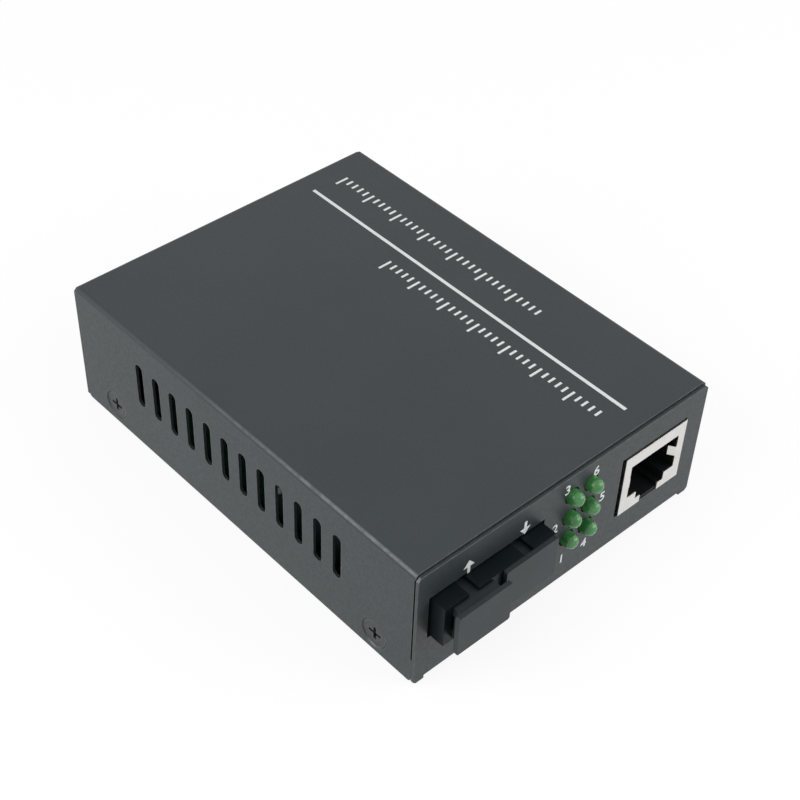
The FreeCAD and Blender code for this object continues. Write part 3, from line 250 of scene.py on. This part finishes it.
def laminate(name):
    """Green solder mask over copper: paler routes under the mask, and a fine weave."""
    shader = Shader(name)
    route_mm = 2.6
    mapping = shader.node("ShaderNodeMapping")
    mapping.inputs["Scale"].default_value = (1 / (route_mm * MM),) * 3
    mapping.inputs["Rotation"].default_value = (0, 0, math.radians(45))
    shader.link(shader.position, mapping.inputs["Vector"])
    cells = shader.node("ShaderNodeTexVoronoi", feature="F1", distance="MANHATTAN")
    cells.inputs["Scale"].default_value = 1.0
    shader.link(mapping.outputs["Vector"], cells.inputs["Vector"])
    bands = shader.maths("PINGPONG", cells.outputs["Distance"], 0.16)
    routes = shader.ramp(bands, (0.45, 0.0), (0.55, 1.0))
    weave = shader.noise(0.5, 1.0)
    base = shader.ramp(weave, (0.3, (0.006, 0.04, 0.024)), (0.7, (0.009, 0.055, 0.032)))
    shader.colour(shader.mix(routes, base, (0.016, 0.09, 0.045)))
    shader.rough(shader.ramp(weave, (0.3, 0.26), (0.7, 0.4)))
    height = shader.maths("ADD", routes, shader.maths("MULTIPLY", weave, 0.2))
    shader.relief(height, 0.03, 0.6)
    return shader.material


def lens(name):
    """Dyed epoxy lamp lens: green, part clear, with faint flow clouds."""
    shader = Shader(name)
    cloud = shader.noise(1.1, 2.0)
    shader.fixed(transmission_weight=0.3, ior=1.53)
    shader.colour(shader.ramp(cloud, (0.3, (0.045, 0.25, 0.06)), (0.7, (0.1, 0.4, 0.11))))
    shader.rough(shader.ramp(shader.noise(0.3, 2.0), (0.3, 0.12), (0.7, 0.2)))
    shader.relief(cloud, 0.008, 0.2)
    return shader.material


def ink(name, colour):
    """Screen-printed ink: near-white film, thin in places so that the coat's grain shows."""
    shader = Shader(name)
    thin = shader.noise(0.14, 2.0)
    film = shader.noise(3.0, 2.0)
    body = shader.ramp(film, (0.3, scaled(colour, 0.94)), (0.7, colour))
    bare = shader.ramp(thin, (0.28, 0.35), (0.44, 0.0))
    shader.colour(shader.mix(bare, body, (0.3, 0.31, 0.32)))
    shader.rough(shader.ramp(thin, (0.3, 0.45), (0.7, 0.62)))
    shader.relief(thin, 0.01, 0.5)
    return shader.material


CHARCOAL = (0.024, 0.032, 0.036)
TIN, DULL_TIN = (0.74, 0.735, 0.715), (0.66, 0.65, 0.63)
SLOT_MATERIALS = {
    # the third value of each coat is the pale colour of its scuffs and of its painted highlights on
    # edges and bends
    "painted_steel": powder_coat("powder_coat", CHARCOAL, (0.2, 0.21, 0.215), 0.46),
    "blackened_steel": powder_coat("black_zinc", (0.027, 0.031, 0.033), (0.22, 0.22, 0.22), 0.42),
    "board_laminate": laminate("solder_mask"),
    "brass_post": metal("turned_brass", (0.72, 0.52, 0.22), 0.3, (1, 1, 6), 0.2),
    "plated_steel": metal("zinc_plate", (0.28, 0.28, 0.27), 0.5, (1, 1, 5), 0.2),
    "tinned_shield": metal("tin_plate", TIN, 0.3, (6, 1, 1), 0.3, DULL_TIN),
    "jack_plastic": moulded("jack_nylon", (0.008, 0.009, 0.01), 0.5, shine=0.12),
    "gold_contact": metal("gold_flash", (0.85, 0.62, 0.24), 0.2, (1, 1, 1), 0.12),
    "green_lens": lens("green_epoxy"),
    "tinned_lead": metal("solder_tin", (0.72, 0.72, 0.7), 0.28, (1, 1, 4), 0.15),
    "port_plastic": moulded("port_resin", (0.006, 0.01, 0.012), 0.34, shine=0.1),
    "sleeve_metal": metal("turned_sleeve", (0.6, 0.6, 0.6), 0.28, (1, 8, 1), 0.2),
    "plug_plastic": moulded("plug_resin", (0.02, 0.027, 0.031), 0.42, 0.18, shine=0.25),
    "chip_resin": moulded("chip_epoxy", (0.018, 0.018, 0.019), 0.55, 0.12),
    "capacitor_sleeve": moulded("shrink_sleeve", (0.02, 0.022, 0.05), 0.3, 0.6),
    "ferrite": moulded("ferrite_core", (0.03, 0.03, 0.032), 0.6, 0.15, 0.03),
    "ceramic_chip": moulded("fired_ceramic", (0.32, 0.22, 0.13), 0.45, 0.1),
}
PRINT_WHITE = ink("legend_ink", (0.86, 0.87, 0.88))


def dress_frame():
    """Each CAD node takes the material of its slot in the record."""
    slots = {part["node"]: part["material_slot"] for part in frame["record"]["subparts"]}
    for name, node in frame["nodes"].items():
        for place in node.material_slots:
            place.material = SLOT_MATERIALS[slots[name]]
        if not node.material_slots:
            node.data.materials.append(SLOT_MATERIALS[slots[name]])


# ---------------------------------------------------------------- printed marks

INK_FILM = 0.012  # thickness of the printed film
FRONT_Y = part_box("base_tray")[0].y / MM
TOP_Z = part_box("top_cover")[1].z / MM


def on_top(across, along):
    """The point of the lid at x = across and y = along, and the way that the lid faces."""
    return Vector((across, along, TOP_Z)), Vector((0, 0, 1))


def on_front(across, up):
    """The point of the front panel at x = across and z = up, and the way that the panel faces."""
    return Vector((across, FRONT_Y, up)), Vector((0, -1, 0))


def printed(name, outlines, surface):
    """An ink film: closed outlines of (u, v) points laid on a surface and raised by the film."""
    mesh = bpy.data.meshes.new(name)
    build = bmesh.new()
    for outline in outlines:
        lower, upper = [], []
        for u, v in outline:
            point, normal = surface(u, v)
            lower.append(build.verts.new(point * MM))
            upper.append(build.verts.new((point + normal * INK_FILM) * MM))
        build.faces.new(upper)
        build.faces.new(list(reversed(lower)))
        for i in range(len(outline)):
            j = (i + 1) % len(outline)
            build.faces.new((lower[i], lower[j], upper[j], upper[i]))
    bmesh.ops.recalc_face_normals(build, faces=build.faces)
    build.to_mesh(mesh)
    build.free()
    mesh.materials.append(PRINT_WHITE)
    piece = bpy.data.objects.new(name, mesh)
    bpy.context.scene.collection.objects.link(piece)
    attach(piece, CONVERTER)


def bar(u0, v0, u1, v1):
    """A rectangle between two opposite corners, square to u and v."""
    return [(u0, v0), (u1, v0), (u1, v1), (u0, v1)]


def arrow(u, v, length, up):
    """A plain arrow whose tip points up (1) or down (-1)."""
    head, half, stem = 1.5, 1.25, 0.32
    low, neck, tip = v - up * length / 2, v + up * (length / 2 - head), v + up * length / 2
    return [
        (u - stem, low), (u + stem, low), (u + stem, neck), (u + half, neck),
        (u, tip), (u - half, neck), (u - stem, neck),
    ]


def numeral(name, digit, u, v, height):
    """One plain digit as an ink film on the front panel."""
    curve = bpy.data.curves.new(name + "_outline", "FONT")
    curve.body = str(digit)
    curve.align_x = curve.align_y = "CENTER"
    curve.size = height * MM / 0.7  # the digits stand about 0.7 of the letter size
    curve.offset = 0.02 * height * MM  # fattens the strokes a little
    curve.extrude = INK_FILM * MM / 2
    curve.resolution_u = 4
    text = bpy.data.objects.new(name + "_outline", curve)
    bpy.context.scene.collection.objects.link(text)
    drawn = text.evaluated_get(bpy.context.evaluated_depsgraph_get())
    mesh = bpy.data.meshes.new_from_object(drawn)
    bpy.data.objects.remove(text)
    stand = Matrix.Rotation(math.radians(90), 4, "X")
    mesh.transform(Matrix.Translation(((u * MM), (FRONT_Y - INK_FILM / 2) * MM, v * MM)) @ stand)
    mesh.name = name
    mesh.materials.clear()
    mesh.materials.append(PRINT_WHITE)
    piece = bpy.data.objects.new(name, mesh)
    bpy.context.scene.collection.objects.link(piece)
    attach(piece, CONVERTER)


def scale_ticks(low_x, low_y, high_y):
    """The ticks of one scale, from its rear end to its front end, every fifth one tall."""
    pitch, stroke, short, tall = 1.6, 0.5, 1.7, 3.1
    count = int((high_y - low_y - stroke) / pitch) + 1
    ticks = []
    for i in range(count):
        y = high_y - i * pitch
        length = tall if i % 5 == 0 else short
        ticks.append(bar(low_x + tall - length, y - stroke, low_x + tall, y))
    return ticks


def print_top():
    """The lid's long rule, with a plain scale of ticks on each side of it."""
    rule_x, rule_half, rule_front, rule_rear = 18.43, 0.36, -42.0, 41.8
    rule = bar(rule_x - rule_half, rule_front, rule_x + rule_half, rule_rear)
    printed("top_rule", [rule], on_top)
    inner, outer = scale_ticks(11.8, -41.0, 15.1), scale_ticks(23.3, -15.3, 40.9)
    printed("top_scale", inner + outer, on_top)


def print_front():
    """Arrows over the two fibre ports, out and in, and a number beside each lamp."""
    arrow_z, arrow_length, numeral_height = 21.6, 3.0, 2.1
    printed("port_arrow_out", [arrow(-23.75, arrow_z, arrow_length, 1)], on_front)
    printed("port_arrow_in", [arrow(-10.8, arrow_z, arrow_length, -1)], on_front)
    places = ((-0.05, 5.9), (-2.9, 15.5), (-0.9, 23.7), (5.65, 5.9), (8.9, 15.6), (6.2, 23.7))
    for i, (u, v) in enumerate(places):
        numeral("lamp_number_%d" % (i + 1), i + 1, u, v, numeral_height)


# ---------------------------------------------------------------- stage

WHITE = (1, 1, 1, 1)
FLOOR_HALF = 2.5
FLOOR_DROP = 0.00003  # keeps the floor just clear of the tray's underside
FLOOR_PALE = (0.86, 0.86, 0.86, 1)
FLOOR_GLOW = 1.08
GLOW_SHARE = 0.8  # of what is seen of the floor; the rest is lit, and so keeps the shadow
FILL_LIGHT = 0.45


def seen_directly(tree):
    """1 for camera, glossy and transmission rays, 0 for the light the stage throws on things."""
    path = tree.nodes.new("ShaderNodeLightPath")
    total = path.outputs["Is Camera Ray"]
    for ray in ("Is Glossy Ray", "Is Transmission Ray"):
        highest = tree.nodes.new("ShaderNodeMath")
        highest.operation = "MAXIMUM"
        tree.links.new(total, highest.inputs[0])
        tree.links.new(path.outputs[ray], highest.inputs[1])
        total = highest.outputs[0]
    return total


def make_floor():
    """A pale plain floor that keeps the object's shadow."""
    mesh = bpy.data.meshes.new("floor")
    corners = [(x * FLOOR_HALF, y * FLOOR_HALF, 0) for x, y in ((-1, -1), (1, -1), (1, 1), (-1, 1))]
    mesh.from_pydata(corners, [], [(0, 1, 2, 3)])
    floor = bpy.data.objects.new("floor", mesh)
    bpy.context.scene.collection.objects.link(floor)
    floor.location.z = -FLOOR_DROP
    material = bpy.data.materials.new("studio_floor")
    material.use_nodes = True
    tree = material.node_tree
    tree.nodes.clear()
    output = tree.nodes.new("ShaderNodeOutputMaterial")
    matt = tree.nodes.new("ShaderNodeBsdfDiffuse")
    matt.inputs["Color"].default_value = FLOOR_PALE
    white = tree.nodes.new("ShaderNodeEmission")
    white.inputs["Strength"].default_value = FLOOR_GLOW
    blend = tree.nodes.new("ShaderNodeMixShader")
    share = tree.nodes.new("ShaderNodeMath")
    share.operation = "MULTIPLY"
    share.inputs[1].default_value = GLOW_SHARE
    tree.links.new(seen_directly(tree), share.inputs[0])
    tree.links.new(share.outputs[0], blend.inputs[0])
    tree.links.new(matt.outputs[0], blend.inputs[1])
    tree.links.new(white.outputs[0], blend.inputs[2])
    tree.links.new(blend.outputs[0], output.inputs["Surface"])
    floor.data.materials.append(material)


def make_world():
    """A soft even fill on the object, under a white backdrop."""
    world = bpy.data.worlds.new("studio_air")
    bpy.context.scene.world = world
    world.use_nodes = True
    tree = world.node_tree
    tree.nodes.clear()
    output = tree.nodes.new("ShaderNodeOutputWorld")
    blend = tree.nodes.new("ShaderNodeMixShader")
    fill = tree.nodes.new("ShaderNodeBackground")
    fill.inputs["Strength"].default_value = FILL_LIGHT
    backdrop = tree.nodes.new("ShaderNodeBackground")
    backdrop.inputs["Color"].default_value = WHITE
    tree.links.new(seen_directly(tree), blend.inputs[0])
    tree.links.new(fill.outputs[0], blend.inputs[1])
    tree.links.new(backdrop.outputs[0], blend.inputs[2])
    tree.links.new(blend.outputs[0], output.inputs["Surface"])


def make_lamp(name, place, aim, size, power):
    """A square softbox of size metres and power watts, turned from place towards aim."""
    lamp = bpy.data.lights.new(name, "AREA")
    lamp.shape = "SQUARE"
    lamp.size = size
    lamp.energy = power
    holder = bpy.data.objects.new(name, lamp)
    holder.location = place
    holder.rotation_mode = "QUATERNION"
    holder.rotation_quaternion = (Vector(aim) - Vector(place)).to_track_quat("-Z", "Y")
    bpy.context.scene.collection.objects.link(holder)


def make_lights():
    """A softbox to the left, one to the front right and a weak one above."""
    aim = (0, 0, 0.013)  # the middle of the case
    make_lamp("left_softbox", (-0.45, 0.12, 0.26), aim, 0.5, 1.75)
    make_lamp("right_softbox", (0.3, -0.34, 0.2), aim, 0.4, 1.3)
    make_lamp("top_softbox", (-0.05, -0.05, 0.8), aim, 0.7, 0.6)


def make_camera():
    """The photograph's viewpoint: front left, high, through a 73 mm lens a little off its axis."""
    camera = bpy.data.cameras.new("camera")
    camera.lens = 73.176
    camera.shift_x, camera.shift_y = -0.03, 0.0625
    camera.sensor_width = 36
    camera.clip_start, camera.clip_end = 0.01, 20
    holder = bpy.data.objects.new("camera", camera)
    forward = Vector((0.504983, 0.503416, -0.701117)).normalized()
    right = Vector((0.732716, -0.679361, 0.039947)).normalized()
    up = right.cross(forward)
    place = Vector((-152.72, -163.87, 218.20)) * MM
    turn = Matrix((right, up, -forward)).transposed().to_4x4()
    holder.matrix_world = Matrix.Translation(place) @ turn
    bpy.context.scene.collection.objects.link(holder)
    bpy.context.scene.camera = holder


dress_frame()
print_top()
print_front()
make_floor()
make_world()
make_lights()
make_camera()
bpy.context.scene.view_settings.view_transform = "Standard"
